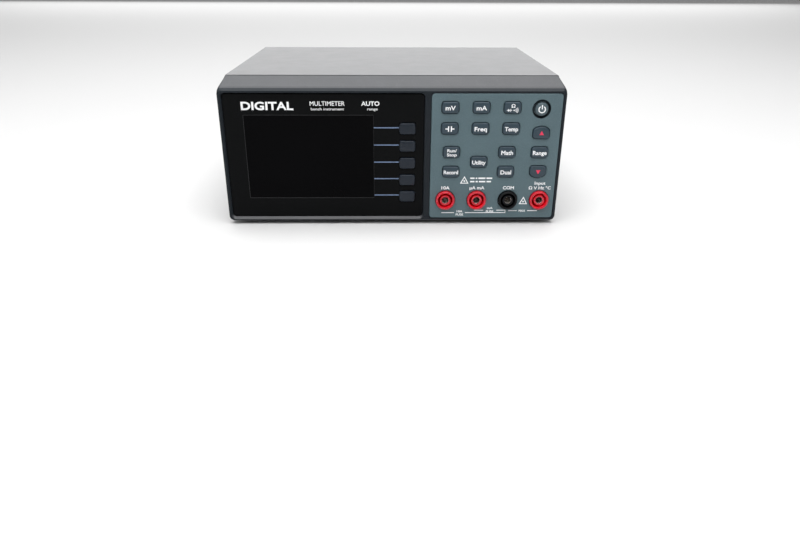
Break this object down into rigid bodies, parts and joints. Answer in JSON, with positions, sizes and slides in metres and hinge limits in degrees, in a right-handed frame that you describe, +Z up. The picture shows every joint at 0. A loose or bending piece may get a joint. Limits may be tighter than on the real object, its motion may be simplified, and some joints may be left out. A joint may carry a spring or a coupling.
{
  "type": "bench multimeter",
  "caption": "Mains-powered bench multimeter: low boxy case with a sloping brow, wide black display window with soft keys, grey key panel and a row of shrouded test-lead sockets.",
  "frame": {"origin": "on the surface the meter stands on, under the middle of its bounding box", "axes": "+Z up; -Y is the front with the display and keys, +Y the back; +X to the right as the front is faced"},
  "size_m": [0.2, 0.15, 0.088],
  "materials": {
    "bezel_plastic": "dark charcoal moulded plastic, fine satin grain",
    "case_plastic": "dark grey moulded plastic, fine satin grain",
    "panel_plastic": "blue-grey moulded plastic, fine satin grain",
    "key_plastic": "dark blue-grey moulded plastic, satin",
    "window_plastic": "polished tinted black window",
    "display_glass": "display glass, switched off",
    "circuit_board": "green solder mask on fibreglass",
    "silicone_pad": "moulded silicone",
    "sheet_steel": "tinned sheet steel",
    "core_steel": "varnished steel laminations",
    "winding_tape": "yellow insulating tape over copper winding",
    "fuse_ceramic": "glazed fuse body with plated end caps",
    "contact_brass": "plated brass",
    "ribbon_plastic": "grey flat cable insulation",
    "red_plastic": "red moulded nylon, satin",
    "black_plastic": "black moulded nylon, satin",
    "foot_rubber": "black rubber",
    "screw_steel": "zinc-plated steel"
  },
  "bodies": {
    "case": {"front_bezel": "bezel_plastic", "top_cover": "case_plastic", "bottom_case": "case_plastic", "rear_panel": "case_plastic", "display_window": "window_plastic", "lcd_module": "display_glass", "front_board": "circuit_board", "keypad_membrane": "silicone_pad", "key_panel": "panel_plastic", "main_board": "circuit_board", "shield_can": "sheet_steel", "fuse_10a": "fuse_ceramic", "fuse_ma": "fuse_ceramic", "filter_capacitor": "black_plastic", "ribbon_cable": "ribbon_plastic", "transformer_core": "core_steel", "transformer_winding": "winding_tape", "mains_inlet": "black_plastic", "voltage_selector": "black_plastic", "usb_port": "sheet_steel", "jack_10a": "red_plastic", "contact_10a": "contact_brass", "jack_ma": "red_plastic", "contact_ma": "contact_brass", "jack_com": "black_plastic", "contact_com": "contact_brass", "jack_input": "red_plastic", "contact_input": "contact_brass", "front_foot_left": "foot_rubber", "front_foot_right": "foot_rubber", "rear_foot_left": "foot_rubber", "rear_foot_right": "foot_rubber", "case_screw_front_left": "screw_steel", "case_screw_front_right": "screw_steel", "case_screw_rear_left": "screw_steel", "case_screw_rear_right": "screw_steel"},
    "key_millivolt": {"key_millivolt": "key_plastic"},
    "key_milliamp": {"key_milliamp": "key_plastic"},
    "key_ohm": {"key_ohm": "key_plastic"},
    "key_capacitance": {"key_capacitance": "key_plastic"},
    "key_frequency": {"key_frequency": "key_plastic"},
    "key_temperature": {"key_temperature": "key_plastic"},
    "key_range_up": {"key_range_up": "key_plastic"},
    "key_run_stop": {"key_run_stop": "key_plastic"},
    "key_math": {"key_math": "key_plastic"},
    "key_range_auto": {"key_range_auto": "key_plastic"},
    "key_utility": {"key_utility": "key_plastic"},
    "key_record": {"key_record": "key_plastic"},
    "key_dual": {"key_dual": "key_plastic"},
    "key_range_down": {"key_range_down": "key_plastic"},
    "power_button": {"power_button": "key_plastic"},
    "soft_key_1": {"soft_key_1": "key_plastic"},
    "soft_key_2": {"soft_key_2": "key_plastic"},
    "soft_key_3": {"soft_key_3": "key_plastic"},
    "soft_key_4": {"soft_key_4": "key_plastic"},
    "soft_key_5": {"soft_key_5": "key_plastic"},
    "tilt_leg_left": {"tilt_leg_left": "bezel_plastic"},
    "tilt_leg_right": {"tilt_leg_right": "bezel_plastic"},
    "fuse_drawer": {"fuse_drawer": "black_plastic"},
    "voltage_slider": {"voltage_slider": "red_plastic"}
  },
  "joints": [
    {"name": "key_millivolt_press", "type": "slide", "parent": "case", "child": "key_millivolt", "axis": [0, 1, 0], "range_m": [0, 0.001], "stiffness_N_per_m": 450, "springref_m": -0.0006},
    {"name": "key_milliamp_press", "type": "slide", "parent": "case", "child": "key_milliamp", "axis": [0, 1, 0], "range_m": [0, 0.001], "stiffness_N_per_m": 450, "springref_m": -0.0006},
    {"name": "key_ohm_press", "type": "slide", "parent": "case", "child": "key_ohm", "axis": [0, 1, 0], "range_m": [0, 0.001], "stiffness_N_per_m": 450, "springref_m": -0.0006},
    {"name": "key_capacitance_press", "type": "slide", "parent": "case", "child": "key_capacitance", "axis": [0, 1, 0], "range_m": [0, 0.001], "stiffness_N_per_m": 450, "springref_m": -0.0006},
    {"name": "key_frequency_press", "type": "slide", "parent": "case", "child": "key_frequency", "axis": [0, 1, 0], "range_m": [0, 0.001], "stiffness_N_per_m": 450, "springref_m": -0.0006},
    {"name": "key_temperature_press", "type": "slide", "parent": "case", "child": "key_temperature", "axis": [0, 1, 0], "range_m": [0, 0.001], "stiffness_N_per_m": 450, "springref_m": -0.0006},
    {"name": "key_range_up_press", "type": "slide", "parent": "case", "child": "key_range_up", "axis": [0, 1, 0], "range_m": [0, 0.001], "stiffness_N_per_m": 450, "springref_m": -0.0006},
    {"name": "key_run_stop_press", "type": "slide", "parent": "case", "child": "key_run_stop", "axis": [0, 1, 0], "range_m": [0, 0.001], "stiffness_N_per_m": 450, "springref_m": -0.0006},
    {"name": "key_math_press", "type": "slide", "parent": "case", "child": "key_math", "axis": [0, 1, 0], "range_m": [0, 0.001], "stiffness_N_per_m": 450, "springref_m": -0.0006},
    {"name": "key_range_auto_press", "type": "slide", "parent": "case", "child": "key_range_auto", "axis": [0, 1, 0], "range_m": [0, 0.001], "stiffness_N_per_m": 450, "springref_m": -0.0006},
    {"name": "key_utility_press", "type": "slide", "parent": "case", "child": "key_utility", "axis": [0, 1, 0], "range_m": [0, 0.001], "stiffness_N_per_m": 450, "springref_m": -0.0006},
    {"name": "key_record_press", "type": "slide", "parent": "case", "child": "key_record", "axis": [0, 1, 0], "range_m": [0, 0.001], "stiffness_N_per_m": 450, "springref_m": -0.0006},
    {"name": "key_dual_press", "type": "slide", "parent": "case", "child": "key_dual", "axis": [0, 1, 0], "range_m": [0, 0.001], "stiffness_N_per_m": 450, "springref_m": -0.0006},
    {"name": "key_range_down_press", "type": "slide", "parent": "case", "child": "key_range_down", "axis": [0, 1, 0], "range_m": [0, 0.001], "stiffness_N_per_m": 450, "springref_m": -0.0006},
    {"name": "power_button_press", "type": "slide", "parent": "case", "child": "power_button", "axis": [0, 1, 0], "range_m": [0, 0.0012], "stiffness_N_per_m": 500, "springref_m": -0.0006},
    {"name": "soft_key_1_press", "type": "slide", "parent": "case", "child": "soft_key_1", "axis": [0, 1, 0], "range_m": [0, 0.001], "stiffness_N_per_m": 450, "springref_m": -0.0006},
    {"name": "soft_key_2_press", "type": "slide", "parent": "case", "child": "soft_key_2", "axis": [0, 1, 0], "range_m": [0, 0.001], "stiffness_N_per_m": 450, "springref_m": -0.0006},
    {"name": "soft_key_3_press", "type": "slide", "parent": "case", "child": "soft_key_3", "axis": [0, 1, 0], "range_m": [0, 0.001], "stiffness_N_per_m": 450, "springref_m": -0.0006},
    {"name": "soft_key_4_press", "type": "slide", "parent": "case", "child": "soft_key_4", "axis": [0, 1, 0], "range_m": [0, 0.001], "stiffness_N_per_m": 450, "springref_m": -0.0006},
    {"name": "soft_key_5_press", "type": "slide", "parent": "case", "child": "soft_key_5", "axis": [0, 1, 0], "range_m": [0, 0.001], "stiffness_N_per_m": 450, "springref_m": -0.0006},
    {"name": "tilt_leg_left_fold", "type": "hinge", "parent": "case", "child": "tilt_leg_left", "pos_m": [-0.06, -0.054, 0.004], "axis": [-1, 0, 0], "range_deg": [0, 100]},
    {"name": "tilt_leg_right_fold", "type": "hinge", "parent": "case", "child": "tilt_leg_right", "pos_m": [0.06, -0.054, 0.004], "axis": [-1, 0, 0], "range_deg": [0, 100]},
    {"name": "fuse_drawer_slide", "type": "slide", "parent": "case", "child": "fuse_drawer", "axis": [0, 1, 0], "range_m": [0, 0.0145]},
    {"name": "voltage_slider_slide", "type": "slide", "parent": "case", "child": "voltage_slider", "axis": [1, 0, 0], "range_m": [0, 0.0052]}
  ]
}
